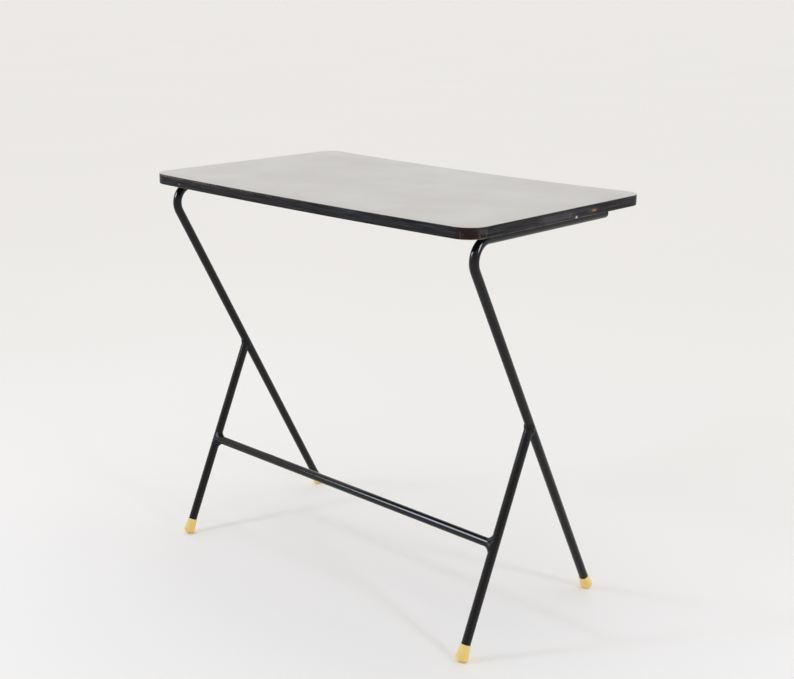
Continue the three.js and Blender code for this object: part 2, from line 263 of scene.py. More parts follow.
laminate_bottom = top_surface - laminate_thickness
arris, arris_middle, arris_hold = 0.0003, 0.0001, 0.00005
sheet_profile = [(arris, top_surface), (arris_middle, top_surface - arris_middle), (0, top_surface - arris),
                 (0, top_surface - arris - arris_hold), (0, laminate_bottom)]
sheet_mesh = top_slab("laminate_sheet", sheet_profile, straight_step=0.012, corner_steps=24)
sheet_mesh.materials.append(laminate)
laminate_sheet = new_object("laminate_sheet", sheet_mesh)
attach(laminate_sheet, "root")
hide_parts("top_laminate")


# Board: the plywood core that carries the laminate. Its underside is stained dark brown, and shows the
# rotary-cut face veneer with the grain along the table; the screws from the rails go up into it.
core_top, underside = 0.6689, 0.6529
strip_thickness, glue_line = 0.002, 0.0001
core_inset = strip_thickness + glue_line

# Stained plywood: dark brown, with fine open grain and the wide flames of peeled veneer under the stain.
plywood, tree = new_material("stained_plywood")
coords = node(tree, "ShaderNodeTexCoord")
grain_length, grain_width = 0.25, 0.006
flames_per_metre, flame_share = (1.2, 14, 14), 0.35
stretched = node(tree, "ShaderNodeMapping", {
    "Vector": coords.outputs["Object"], "Scale": (1 / grain_length, 1 / grain_width, 1 / grain_width)})
grain = node(tree, "ShaderNodeTexNoise", {
    "Vector": stretched.outputs[0], "Scale": 1, "Detail": 6, "Distortion": 0.6})
figure = node(tree, "ShaderNodeMapping", {"Vector": coords.outputs["Object"], "Scale": flames_per_metre})
flame = node(tree, "ShaderNodeTexWave", {
    "Vector": figure.outputs[0], "Scale": 0.6, "Distortion": 9, "Detail": 3, "Detail Scale": 0.8},
    bands_direction="Y")
light_dark = node(tree, "ShaderNodeMix", {
    0: grain.outputs["Fac"], 6: linear("#3a2a20"), 7: linear("#59432f")}, data_type="RGBA")
flamed = node(tree, "ShaderNodeMix", {
    0: flame.outputs["Fac"], 6: light_dark.outputs[2], 7: linear("#2c1f18")}, data_type="RGBA")
flame_part = node(tree, "ShaderNodeMix", {
    0: flame_share, 6: light_dark.outputs[2], 7: flamed.outputs[2]}, data_type="RGBA")
bump = node(tree, "ShaderNodeBump", {"Height": grain.outputs["Fac"], "Strength": 0.15, "Distance": 0.0003})
shader = node(tree, "ShaderNodeBsdfPrincipled", {
    "Base Color": flame_part.outputs[2], "Roughness": 0.65, "Normal": bump.outputs[0]})
node(tree, "ShaderNodeOutputMaterial", {"Surface": shader.outputs[0]})

board_mesh = top_slab("board", [(core_inset, core_top), (core_inset, underside)], straight_step=0.012,
                      corner_steps=16)
board_mesh.materials.append(plywood)
board = new_object("board", board_mesh)
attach(board, "root")
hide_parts("top_board")


# Edge strip: thin wood bent round the board, stained and lacquered black, butted at the back. It has
# cracked open on the tight near corner, and the black has rubbed through to brown along its arrises.
strip_rim = top_outline(straight_step=0.002, corner_steps=90)
lower_arris, upper_arris = 0.0009, 0.0003
strip_section = [(strip_thickness, core_top), (strip_thickness / 2, core_top)]
strip_section += [(upper_arris * (1 - math.sin(a)), core_top - upper_arris * (1 - math.cos(a)))
                  for a in (0, math.pi / 4, math.pi / 2)]
face_top, face_bottom, face_steps = core_top - upper_arris, underside + lower_arris, 18
strip_section += [(0, face_top + (face_bottom - face_top) * k / face_steps) for k in range(1, face_steps)]
strip_section += [(lower_arris * (1 - math.cos(a)), underside + lower_arris * (1 - math.sin(a)))
                  for a in (0, math.pi / 8, math.pi / 4, 3 * math.pi / 8, math.pi / 2)]
strip_section += [(strip_thickness, underside), (strip_thickness, (underside + core_top) / 2)]
rim_count, section_count = len(strip_rim), len(strip_section)
strip_points = np.concatenate([np.column_stack([strip_rim[:, :2] - inset * strip_rim[:, 2:],
                                                np.full(rim_count, z)]) for inset, z in strip_section])
strip_faces = []
for row in range(section_count):
    above, below = row * rim_count, ((row + 1) % section_count) * rim_count
    for k in range(rim_count - 1):
        strip_faces.append((above + k, above + k + 1, below + k + 1, below + k))
strip_faces.append([row * rim_count for row in range(section_count)])
strip_faces.append([row * rim_count + rim_count - 1 for row in reversed(range(section_count))])
gaps = np.linalg.norm(np.diff(strip_rim[:, :2], axis=0, append=strip_rim[:1, :2]), axis=1)
along_rim = np.concatenate([[0], np.cumsum(gaps)[:-1]])
along = np.tile(along_rim, section_count)

# Marks on the black, as shares from 0 to 1 on the strip's points: bare brown wood, white chips of filler,
# rubbed grey, a painted highlight in that grey along the lower arris on the right, and the browned side of
# the near corner. Angles run round that corner in degrees.
x, y, z = strip_points.T
random = np.random.default_rng(7)
ripple_rates = (61, 143, 290, 617, 1130)
ripple_starts = random.uniform(0, 6.3, len(ripple_rates))
ripple = sum(np.sin(along * f + p) for f, p in zip(ripple_rates, ripple_starts)) / len(ripple_rates)


def mark(distance, half_width):
    return np.clip(1.5 - np.abs(distance) / half_width, 0, 1)


def between(value, low_end, high_end, fade):
    return np.clip((value - low_end) / fade + 0.5, 0, 1) * np.clip((high_end - value) / fade + 0.5, 0, 1)


near_angle = np.degrees(np.arctan2(-(y + half_depth - corner_radius), x - half_length + corner_radius))
corner_overlap, face_reach = 0.001, 0.003
on_near_corner = ((x > half_length - corner_radius - corner_overlap)
                  & (y < -half_depth + corner_radius + corner_overlap))
on_front = y < -half_depth + face_reach
on_right = x > half_length - face_reach
low_reach, low_fade, high_rub, high_fade = 0.0017, 0.0009, 0.0032, 0.0012
low = np.clip((underside + low_reach - z) / low_fade, 0, 1)
high = np.clip((z - core_top + high_rub) / high_fade, 0, 1)

# Bare wood: the near corner, the upper and lower arris on the left of the front, the left end, the broken
# place on the right, and a faint rub all round; then the cracks up the near corner.
wood = [
    low * on_near_corner * between(near_angle, 2, 42, 10) * 0.85,
    on_near_corner * between(near_angle, -2, 27, 8) * between(z, 0.6615, 0.6672, 0.003) * 0.22,
    high * on_front * between(x, -0.335, -0.200, 0.02) * np.clip(0.5 + 0.3 * ripple, 0, 0.62),
    high * on_front * between(x, -0.205, -0.02, 0.06) * np.clip(0.2 + 0.5 * ripple, 0, 0.5),
    low * on_front * between(x, -0.288, -0.245, 0.012) * 0.6,
    low * on_front * between(x, -0.245, -0.17, 0.05) * np.clip(0.15 + 0.5 * ripple, 0, 0.4),
    mark(x + 0.3455, 0.0022) * (y < -0.19) * between(z, 0.6550, 0.6665, 0.003) * 0.4,
    on_right * mark(y - 0.0745, 0.0056) * mark(z - 0.6601, 0.0018) * (1.1 + 0.3 * ripple),
    on_right * mark(y - 0.0700, 0.0110) * mark(z - 0.6604, 0.0026) * 0.35,
    low * ~on_front * np.clip(0.05 + 0.5 * ripple, 0, 0.3)]
wander, wander_rate, crack_fade = 0.7, 2300, 0.0015
for top_angle, foot_angle, top_height, foot_height, half_width, strength in (
        (25, 21, 0.6600, 0.6532, 1.5, 0.45), (14, 12, 0.6575, 0.6532, 1.0, 0.25),
        (1, 4, 0.6640, 0.6532, 1.5, 0.5), (9, 3, 0.6655, 0.6590, 0.9, 0.25),
        (73, 72, 0.6640, 0.6545, 1.6, 0.3), (65, 67, 0.6615, 0.6550, 1.1, 0.2)):
    down = np.clip((top_height - z) / (top_height - foot_height), 0, 1)
    line = top_angle + (foot_angle - top_angle) * down + wander * np.sin(z * wander_rate + top_angle)
    crack = mark(near_angle - line, half_width) * between(z, foot_height, top_height, crack_fade)
    wood.append(crack * strength * on_near_corner)

# White chips on the right and the front, and grey rubs on the right and all round, with a painted highlight
# in the same grey along the lower arris on the right.
chips = [
    on_right * mark(y - 0.0281, 0.0020) * mark(z - 0.6553, 0.0014),
    on_front * mark(x + 0.276, 0.0014) * mark(z - 0.6585, 0.0010) * 0.45]
rubbed = [
    # Painted highlight: the light line along the lower arris on the right, laid on as grey.
    low * on_right * between(y, -0.100, 0.092, 0.03) * 0.75,
    on_right * mark(y - 0.012, 0.0014) * between(z, 0.6575, 0.6620, 0.0012) * 0.6,
    on_right * between(y, -0.058, 0.024, 0.02) * between(z, 0.6560, 0.6655, 0.003) * 0.3,
    low * ~on_front * np.clip(0.2 + 0.5 * ripple, 0, 0.4)]
browned = [on_near_corner * between(near_angle, 36, 84, 14) * 0.8]
strip_mesh = bpy.data.meshes.new("edge_strip_black")
strip_mesh.from_pydata(sagged(strip_points).tolist(), [], strip_faces)
for name, places in (("along", [along]), ("wood", wood), ("chips", chips), ("rubbed", rubbed),
                     ("browned", browned)):
    most = np.maximum.reduce(places).astype(np.float32)
    strip_mesh.attributes.new(name, "FLOAT", "POINT").data.foreach_set("value", most)
smooth(strip_mesh, sharp_angle=40)

# Stained and lacquered wood: near black, with the grain drawn out along the strip as fine lighter
# streaks; rubbed places go grey, as does the painted highlight along the lower arris on the right; thin ones
# go olive-brown, and broken ones show orange wood or filler.
black_wood, tree = new_material("black_stained_wood")
along_strip = node(tree, "ShaderNodeAttribute", attribute_name="along")
coords = node(tree, "ShaderNodeTexCoord")
height = node(tree, "ShaderNodeSeparateXYZ", {"Vector": coords.outputs["Object"]})
streak_length, streak_width, patch_size = 0.06, 0.0032, 0.016
along_grain = node(tree, "ShaderNodeMath", {
    0: along_strip.outputs["Fac"], 1: 1 / streak_length}, operation="MULTIPLY")
across_grain = node(tree, "ShaderNodeMath", {
    0: height.outputs["Z"], 1: 1 / streak_width}, operation="MULTIPLY")
grain_place = node(tree, "ShaderNodeCombineXYZ", {"X": along_grain.outputs[0], "Y": across_grain.outputs[0]})
grain = node(tree, "ShaderNodeTexNoise", {
    "Vector": grain_place.outputs[0], "Scale": 1, "Detail": 5, "Roughness": 0.65})
grain_part = node(tree, "ShaderNodeMapRange", {
    "Value": grain.outputs["Fac"], "From Min": 0.42, "From Max": 0.70})
streaks = node(tree, "ShaderNodeMix", {
    0: grain_part.outputs[0], 6: linear("#040405"), 7: linear("#3b3d45")}, data_type="RGBA")
blotch_size = 0.03
blotches = node(tree, "ShaderNodeTexNoise", {
    "Vector": coords.outputs["Object"], "Scale": 1 / blotch_size, "Detail": 3})
blotch_part = node(tree, "ShaderNodeMapRange", {
    "Value": blotches.outputs["Fac"], "From Min": 0.45, "From Max": 0.65, "To Max": 0.7})
uneven = node(tree, "ShaderNodeMix", {
    0: blotch_part.outputs[0], 6: streaks.outputs[2], 7: linear("#26201d")}, data_type="RGBA")
browned_mask = node(tree, "ShaderNodeAttribute", attribute_name="browned")
reddish = node(tree, "ShaderNodeMix", {
    0: browned_mask.outputs["Fac"], 6: uneven.outputs[2], 7: linear("#231613")}, data_type="RGBA")
patches = node(tree, "ShaderNodeTexNoise", {
    "Vector": coords.outputs["Object"], "Scale": 1 / patch_size, "Detail": 6, "Roughness": 0.6})
patch_part = node(tree, "ShaderNodeMapRange", {
    "Value": patches.outputs["Fac"], "From Min": 0.28, "From Max": 0.55, "To Min": 0.35})
# This grey takes in the rubs and the painted highlight along the lower arris on the right.
rub_and_highlight_mask = node(tree, "ShaderNodeAttribute", attribute_name="rubbed")
rub_and_highlight_part = node(tree, "ShaderNodeMath", {
    0: rub_and_highlight_mask.outputs["Fac"], 1: patch_part.outputs[0]}, operation="MULTIPLY")
greyed = node(tree, "ShaderNodeMix", {
    0: rub_and_highlight_part.outputs[0], 6: reddish.outputs[2], 7: linear("#6d686c")}, data_type="RGBA")
wood_mask = node(tree, "ShaderNodeAttribute", attribute_name="wood")
wood_part = node(tree, "ShaderNodeMath", {
    0: wood_mask.outputs["Fac"], 1: patch_part.outputs[0]}, operation="MULTIPLY")
deep_part = node(tree, "ShaderNodeMath", {0: wood_part.outputs[0], 1: 3.0}, operation="POWER")
wood_tone = node(tree, "ShaderNodeMix", {
    0: deep_part.outputs[0], 6: linear("#6e604a"), 7: linear("#a5774c")}, data_type="RGBA")
bared = node(tree, "ShaderNodeMix", {
    0: wood_part.outputs[0], 6: greyed.outputs[2], 7: wood_tone.outputs[2]}, data_type="RGBA")
chip_mask = node(tree, "ShaderNodeAttribute", attribute_name="chips")
chipped = node(tree, "ShaderNodeMix", {
    0: chip_mask.outputs["Fac"], 6: bared.outputs[2], 7: linear("#d4d6e0")}, data_type="RGBA")
worn_and_highlit = node(tree, "ShaderNodeMath", {0: wood_part.outputs[0], 1: rub_and_highlight_part.outputs[0]}, operation="MAXIMUM")
dulled = node(tree, "ShaderNodeMapRange", {"Value": worn_and_highlit.outputs[0], "To Min": 0.4, "To Max": 0.75})
surface = node(tree, "ShaderNodeMath", {
    0: wood_part.outputs[0], 1: -0.8, 2: grain.outputs["Fac"]}, operation="MULTIPLY_ADD")
bump = node(tree, "ShaderNodeBump", {"Height": surface.outputs[0], "Strength": 0.3, "Distance": 0.0003})
shader = node(tree, "ShaderNodeBsdfPrincipled", {
    "Base Color": chipped.outputs[2], "Roughness": dulled.outputs[0], "IOR": 1.45, "Specular IOR Level": 0.15,
    "Normal": bump.outputs[0]})
node(tree, "ShaderNodeOutputMaterial", {"Surface": shader.outputs[0]})
strip_mesh.materials.append(black_wood)
edge_band = new_object("edge_band", strip_mesh)
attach(edge_band, "root")
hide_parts("edge_strip")


# Leg tubes: on each side one 14 mm steel tube, a little thicker with its enamel, is the rail under the top,
# the tight bend at the front and the long leg to the rear foot. Holes in the rail's lower wall let a
# driver reach the screws.
tube_radius, bend_radius = 0.0073, 0.029
rail_height = 0.6451
rail_end_y = 0.1372
bend_centre = Vector((0, -0.1517, rail_height - bend_radius))
rear_floor, front_floor = Vector((0, 0.1547, 0)), Vector((0, -0.1834, 0))
to_foot = rear_floor - bend_centre
bend_turn = 1.5 * math.pi - math.atan2(-to_foot.z, to_foot.y) - math.acos(bend_radius / to_foot.length)
leg_start = bend_centre + bend_radius * Vector((0, -math.sin(bend_turn), math.cos(bend_turn)))
screw_rows = [bend_centre.y + (k + 0.5) * (rail_end_y - bend_centre.y) / 3 for k in range(3)]
driver_hole_radius = 0.00425
both_sides = [("left", Vector((-rail_plane, 0, 0))), ("right", Vector((rail_plane, 0, 0)))]

# Stove enamel on steel: deep black and glossy, with the slight ripple of a thick dipped coat, duller
# handled patches and a few small chips that have gone brown.
enamel, tree = new_material("black_stove_enamel")
coords = node(tree, "ShaderNodeTexCoord")
handling_size, ripple_size, chip_spacing, ragged_size = 0.035, 0.004, 0.022, 0.003
chip_threshold, chip_reach = 0.86, 0.1
handled = node(tree, "ShaderNodeTexNoise", {
    "Vector": coords.outputs["Object"], "Scale": 1 / handling_size, "Detail": 5})
gloss = node(tree, "ShaderNodeMapRange", {
    "Value": handled.outputs["Fac"], "From Min": 0.3, "From Max": 0.7, "To Min": 0.1, "To Max": 0.2})
cells = node(tree, "ShaderNodeTexVoronoi", {"Vector": coords.outputs["Object"], "Scale": 1 / chip_spacing})
few = node(tree, "ShaderNodeSeparateColor", {"Color": cells.outputs["Color"]})
chosen = node(tree, "ShaderNodeMath", {0: few.outputs["Red"], 1: chip_threshold}, operation="GREATER_THAN")
edge_noise = node(tree, "ShaderNodeTexNoise", {"Vector": coords.outputs["Object"], "Scale": 1 / ragged_size})
ragged = node(tree, "ShaderNodeMath", {
    0: edge_noise.outputs["Fac"], 1: 0.1, 2: cells.outputs["Distance"]}, operation="MULTIPLY_ADD")
chip_shape = node(tree, "ShaderNodeMath", {0: ragged.outputs[0], 1: chip_reach}, operation="LESS_THAN")
chip_part = node(tree, "ShaderNodeMath", {
    0: chip_shape.outputs[0], 1: chosen.outputs[0]}, operation="MULTIPLY")
coat = node(tree, "ShaderNodeMix", {
    0: handled.outputs["Fac"], 6: linear("#08080a"), 7: linear("#0f0f11")}, data_type="RGBA")
chipped = node(tree, "ShaderNodeMix", {
    0: chip_part.outputs[0], 6: coat.outputs[2], 7: linear("#5b4a3d")}, data_type="RGBA")
coat_ripple = node(tree, "ShaderNodeTexNoise", {
    "Vector": coords.outputs["Object"], "Scale": 1 / ripple_size, "Detail": 1})
bump = node(tree, "ShaderNodeBump", {
    "Height": coat_ripple.outputs["Fac"], "Strength": 0.06, "Distance": 0.0005})
shader = node(tree, "ShaderNodeBsdfPrincipled", {
    "Base Color": chipped.outputs[2], "Roughness": gloss.outputs[0], "IOR": 1.45, "Specular IOR Level": 0.34,
    "Normal": bump.outputs[0]})
node(tree, "ShaderNodeOutputMaterial", {"Surface": shader.outputs[0]})

# Tube along a path, with whatever the cutter object takes out of it.
tube_tree = bpy.data.node_groups.new("tube_along_path", "GeometryNodeTree")
for name, kind in (("Path", "NodeSocketGeometry"), ("Tube radius", "NodeSocketFloat"),
                   ("Sides", "NodeSocketInt"), ("Cutter", "NodeSocketObject"),
                   ("Finish", "NodeSocketMaterial")):
    tube_tree.interface.new_socket(name=name, in_out="INPUT", socket_type=kind)
tube_tree.interface.new_socket(name="Tube", in_out="OUTPUT", socket_type="NodeSocketGeometry")
given = node(tube_tree, "NodeGroupInput")
centre_line = node(tube_tree, "GeometryNodeMeshToCurve", {"Mesh": given.outputs["Path"]})
ring = node(tube_tree, "GeometryNodeCurvePrimitiveCircle", {
    "Resolution": given.outputs["Sides"], "Radius": given.outputs["Tube radius"]})
wall = node(tube_tree, "GeometryNodeCurveToMesh", {
    "Curve": centre_line.outputs[0], "Profile Curve": ring.outputs[0], "Fill Caps": True})
holes = node(tube_tree, "GeometryNodeObjectInfo", {"Object": given.outputs["Cutter"]})
cut = node(tube_tree, "GeometryNodeMeshBoolean", {
    "Mesh 1": wall.outputs[0], "Mesh 2": holes.outputs["Geometry"], "Self Intersection": True},
    operation="DIFFERENCE", solver="EXACT")
realized = node(tube_tree, "GeometryNodeRealizeInstances", {"Geometry": cut.outputs[0]})
finished = node(tube_tree, "GeometryNodeSetMaterial", {
    "Geometry": realized.outputs[0], "Material": given.outputs["Finish"]})
node(tube_tree, "NodeGroupOutput", {"Tube": finished.outputs[0]})


# Straight rods as one mesh, to cut with.
def rods(name, runs, sides):
    points, faces = [], []
    for start, end, radius in runs:
        along_rod = (end - start).normalized()
        across = along_rod.orthogonal().normalized()
        other = along_rod.cross(across)
        first = len(points)
        for middle in (start, end):
            for k in range(sides):
                a = 2 * math.pi * k / sides
                points.append(middle + radius * (math.cos(a) * across + math.sin(a) * other))
        for k in range(sides):
            n = (k + 1) % sides
            faces.append((first + k, first + n, first + sides + n, first + sides + k))
        faces.append([first + k for k in reversed(range(sides))])
        faces.append([first + sides + k for k in range(sides)])
    mesh = bpy.data.meshes.new(name)
    mesh.from_pydata(points, [], faces)
    return new_object(name, mesh)


# Turns what an object's modifiers make of it into its plain mesh.
def keep_result(piece):
    graph = bpy.context.evaluated_depsgraph_get()
    mesh = bpy.data.meshes.new_from_object(piece.evaluated_get(graph), depsgraph=graph)
    piece.modifiers.clear()
    piece.data = mesh


def apply_tree(piece, tree, values, sharp_angle):
    modifier = piece.modifiers.new(tree.name, "NODES")
    modifier.node_group = tree
    for item in tree.interface.items_tree:
        if item.in_out == "INPUT" and item.name in values:
            modifier[item.identifier] = values[item.name]
    keep_result(piece)
    smooth(piece.data, sharp_angle)


def tube(name, path, cutter):
    mesh = bpy.data.meshes.new(name)
    mesh.from_pydata(path, [(k, k + 1) for k in range(len(path) - 1)], [])
    piece = new_object(name, mesh)
    sizes = {"Tube radius": tube_radius, "Sides": 48, "Cutter": cutter, "Finish": enamel}
    apply_tree(piece, tube_tree, sizes, sharp_angle=40)
    bpy.data.objects.remove(cutter)
    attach(piece, "root")
    return piece


leg_up = (leg_start - rear_floor).normalized()
rear_tube_lift = 0.0101
rear_tube_end = rear_floor + leg_up * rear_tube_lift
straight_steps, bend_steps = 24, 28
rail = [Vector((0, rail_end_y + (bend_centre.y - rail_end_y) * k / straight_steps, rail_height))
        for k in range(straight_steps)]
bend_angles = [bend_turn * k / bend_steps for k in range(bend_steps + 1)]
bend = [bend_centre + bend_radius * Vector((0, -math.sin(a), math.cos(a))) for a in bend_angles]
leg = [leg_start.lerp(rear_tube_end, k / straight_steps) for k in range(1, straight_steps + 1)]
hole_start, hole_end = rail_height - 0.02, rail_height + 0.0035
for side, shift in both_sides:
    runs = [(shift + Vector((0, y, hole_start)), shift + Vector((0, y, hole_end)), driver_hole_radius)
            for y in screw_rows]
    driver_holes = rods("driver_holes", runs, sides=32)
    piece = tube(f"{side}_leg", [point + shift for point in rail + bend + leg], driver_holes)
    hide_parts(f"{side}_leg_tube")


# Front legs: a straight length of the same tube, coped against the leg tube halfway up, runs down
# and forward to the front foot.
branch_height = 0.3405
branch = rear_floor.lerp(leg_start, branch_height / leg_start.z)
front_up = (branch - front_floor).normalized()
front_tube_lift = 0.0096
front_tube_end = front_floor + front_up * front_tube_lift
cope_reach, front_leg_bite, front_leg_steps = 0.06, 0.0002, 20
front_leg = [front_tube_end.lerp(branch, k / front_leg_steps) for k in range(front_leg_steps + 1)]
for side, shift in both_sides:
    end = branch + shift
    run = (end - cope_reach * leg_up, end + cope_reach * leg_up, tube_radius - front_leg_bite)
    cope = rods("cope", [run], sides=48)
    piece = tube(f"{side}_strut", [point + shift for point in front_leg], cope)
    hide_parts(f"{side}_front_leg")


# Stretcher: a straight length of the same steel tube that holds the two side frames apart. It is coped
# at both ends to fit the front legs.
stretcher_height = 0.1673
stretcher_middle = front_floor.lerp(branch, stretcher_height / branch_height)
stretcher_bite, stretcher_steps = 0.0001, 40
ends = [stretcher_middle + shift for side, shift in both_sides]
runs = [(end - cope_reach * front_up, end + cope_reach * front_up, tube_radius - stretcher_bite)
        for end in ends]
copes = rods("copes", runs, sides=48)
stretcher_path = [ends[0].lerp(ends[1], k / stretcher_steps) for k in range(stretcher_steps + 1)]
cross_bar = tube("cross_bar", stretcher_path, copes)
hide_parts("stretcher")


# Welds: a fillet of weld metal all round where one tube ends on another, laid by hand in small
# overlapping lumps, hollow where it was drawn out, and enamelled over with the frame.

# The enamel lies thin and a little rough on the lumps, so the welds shine less and look greyer.
weld_enamel, tree = new_material("enamel_on_weld")
coords = node(tree, "ShaderNodeTexCoord")
spatter_size = 0.0012
spatter = node(tree, "ShaderNodeTexNoise", {
    "Vector": coords.outputs["Object"], "Scale": 1 / spatter_size, "Detail": 3})
tone = node(tree, "ShaderNodeMix", {
    0: spatter.outputs["Fac"], 6: linear("#09090b"), 7: linear("#141416")}, data_type="RGBA")
gloss = node(tree, "ShaderNodeMapRange", {
    "Value": spatter.outputs["Fac"], "From Min": 0.3, "From Max": 0.7, "To Min": 0.24, "To Max": 0.4})
bump = node(tree, "ShaderNodeBump", {"Height": spatter.outputs["Fac"], "Strength": 0.6, "Distance": 0.0004})
shader = node(tree, "ShaderNodeBsdfPrincipled", {
    "Base Color": tone.outputs[2], "Roughness": gloss.outputs[0], "IOR": 1.45, "Specular IOR Level": 0.22,
    "Normal": bump.outputs[0]})
node(tree, "ShaderNodeOutputMaterial", {"Surface": shader.outputs[0]})

bead_fullness, bead_bite, bead_root = 0.0024, 0.00012, 0.0015
branch_spread, stretcher_spread = 0.0044, 0.0074
lumpiness, lumps = 0.9, ((0.6, 9), (0.5, 16), (0.4, 5))
width_change, fullness_change, crotch_fill = 0.12, 0.3, 0.6


# A bead round the seam where the ending tube meets the through tube. At each step the seam is the point down
# the ending tube's wall at which it comes out on the through tube's, and a hollow arc is drawn over it from
# one wall to the other.
def weld(name, middle, through, ending, spread, seed):
    steps, arc = 180, 10
    across = ending.cross(through).normalized()
    toward = across.cross(ending)
    phases = np.random.default_rng(seed).uniform(0, 2 * math.pi, 6)
    through_part = ending - ending.dot(through) * through
    seam, walls = [], []
    for k in range(steps):
        a = 2 * math.pi * k / steps
        w = math.cos(a) * across + math.sin(a) * toward
        w_part = w - w.dot(through) * through
        qa = through_part.length_squared
        qb = 2 * tube_radius * through_part.dot(w_part)
        qc = tube_radius ** 2 * (w_part.length_squared - 1)
        reach_down = (-qb + math.sqrt(max(qb * qb - 4 * qa * qc, 0))) / (2 * qa)
        point = reach_down * ending + tube_radius * w
        seam.append(point)
        walls.append(((point - point.dot(through) * through).normalized(), w))
    points, faces = [], []
    for k in range(steps):
        a = 2 * math.pi * k / steps
        run = (seam[(k + 1) % steps] - seam[k - 1]).normalized()
        through_out, ending_out = walls[k]
        away = through_out.cross(run)
        away = away if away.dot(ending_out) > 0 else -away
        along_ending = ending_out.cross(run)
        along_ending = along_ending if along_ending.dot(ending) > 0 else -along_ending
        beat = lumpiness * sum(size * math.sin(count * a + phase)
                               for (size, count), phase in zip(lumps, phases))
        wide = spread * (1 + width_change * beat)
        on_through = seam[k] + wide * away
        rest = on_through.dot(through) * through
        on_through = rest + (on_through - rest).normalized() * (tube_radius - bead_bite)
        uneven_edge = 1 + width_change * lumpiness * math.sin(7 * a + phases[3])
        on_ending = seam[k] + wide * uneven_edge * along_ending
        rest = on_ending.dot(ending) * ending
        on_ending = rest + (on_ending - rest).normalized() * (tube_radius - bead_bite)
        out = (through_out + ending_out).normalized()
        in_crotch = 1 + crotch_fill * math.sin(a) * ending.dot(through)
        shoulder = seam[k] + bead_fullness * in_crotch * (1 + fullness_change * beat) * out
        for j in range(arc + 1):
            t = j / arc
            on_arc = (1 - t) ** 2 * on_through + 2 * t * (1 - t) * shoulder + t ** 2 * on_ending
            points.append(middle + on_arc)
        points.append(middle + seam[k] - bead_root * out)
    row = arc + 2
    for k in range(steps):
        n = (k + 1) % steps
        for j in range(row):
            m = (j + 1) % row
            faces.append((k * row + j, k * row + m, n * row + m, n * row + j))
    mesh = bpy.data.meshes.new(name)
    mesh.from_pydata(points, [], faces)
    mesh.polygons.foreach_set("use_smooth", [True] * len(mesh.polygons))
    mesh.materials.append(weld_enamel)
    mesh.update()
    piece = new_object(name, mesh)
    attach(piece, "root")
    return piece


for (side, shift), seed in zip(both_sides, (3, 5)):
    piece = weld(f"{side}_branch_bead", branch + shift, leg_up, -front_up, branch_spread, seed)
    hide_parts(f"{side}_branch_weld")
    piece = weld(f"{side}_stretcher_bead", stretcher_middle + shift, front_up, -shift.normalized(),
                 stretcher_spread, seed + 10)
    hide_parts(f"{side}_stretcher_weld")


# Feet: soft plastic caps, moulded cream and gone yellow, pushed on to the tube ends. They flare to a
# rounded base that stands on its inner edge, where it has worn flat.
repeat_tree = bpy.data.node_groups.new("like_pieces_on_points", "GeometryNodeTree")
for name, kind in (("Points", "NodeSocketGeometry"), ("Piece", "NodeSocketObject"),
                   ("Finish", "NodeSocketMaterial")):
    repeat_tree.interface.new_socket(name=name, in_out="INPUT", socket_type=kind)
repeat_tree.interface.new_socket(name="Pieces", in_out="OUTPUT", socket_type="NodeSocketGeometry")
given = node(repeat_tree, "NodeGroupInput")
one = node(repeat_tree, "GeometryNodeObjectInfo", {"Object": given.outputs["Piece"]})
axis = node(repeat_tree, "GeometryNodeInputNamedAttribute", {"Name": "axis"}, data_type="FLOAT_VECTOR")
stand = node(repeat_tree, "FunctionNodeAlignRotationToVector", {
    "Vector": axis.outputs["Attribute"]}, axis="Z")
copies = node(repeat_tree, "GeometryNodeInstanceOnPoints", {
    "Points": given.outputs["Points"], "Instance": one.outputs["Geometry"], "Rotation": stand.outputs[0]})
realized = node(repeat_tree, "GeometryNodeRealizeInstances", {"Geometry": copies.outputs[0]})
finished = node(repeat_tree, "GeometryNodeSetMaterial", {
    "Geometry": realized.outputs[0], "Material": given.outputs["Finish"]})
node(repeat_tree, "NodeGroupOutput", {"Pieces": finished.outputs[0]})


# Turned shape from a profile of (radius, height) in millimetres that starts and ends on the axis.
def turned(name, profile, sides):
    rings = [(radius / 1000, height / 1000) for radius, height in profile]
    angles = [2 * math.pi * k / sides for k in range(sides)]
    points = [(0, 0, rings[0][1])]
    points += [(radius * math.cos(a), radius * math.sin(a), height)
               for radius, height in rings[1:-1] for a in angles]
    points.append((0, 0, rings[-1][1]))
    faces = []
    for k in range(sides):
        n = (k + 1) % sides
        faces.append((0, 1 + n, 1 + k))
        for ring in range(len(profile) - 3):
            base = 1 + ring * sides
            faces.append((base + k, base + n, base + sides + n, base + sides + k))
        last = 1 + (len(profile) - 3) * sides
        faces.append((last + k, last + n, len(points) - 1))
    mesh = bpy.data.meshes.new(name)
    mesh.from_pydata(points, [], faces)
    return new_object(name, mesh)


# One piece set on points, each stood along its own axis.
def repeated(name, places, one_piece, finish, sharp_angle):
    mesh = bpy.data.meshes.new(name)
    mesh.from_pydata([place for place, axis in places], [], [])
    mesh.attributes.new("axis", "FLOAT_VECTOR", "POINT").data.foreach_set(
        "vector", [c for place, axis in places for c in axis])
    piece = new_object(name, mesh)
    apply_tree(piece, repeat_tree, {"Piece": one_piece, "Finish": finish}, sharp_angle)
    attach(piece, "root")
    return piece
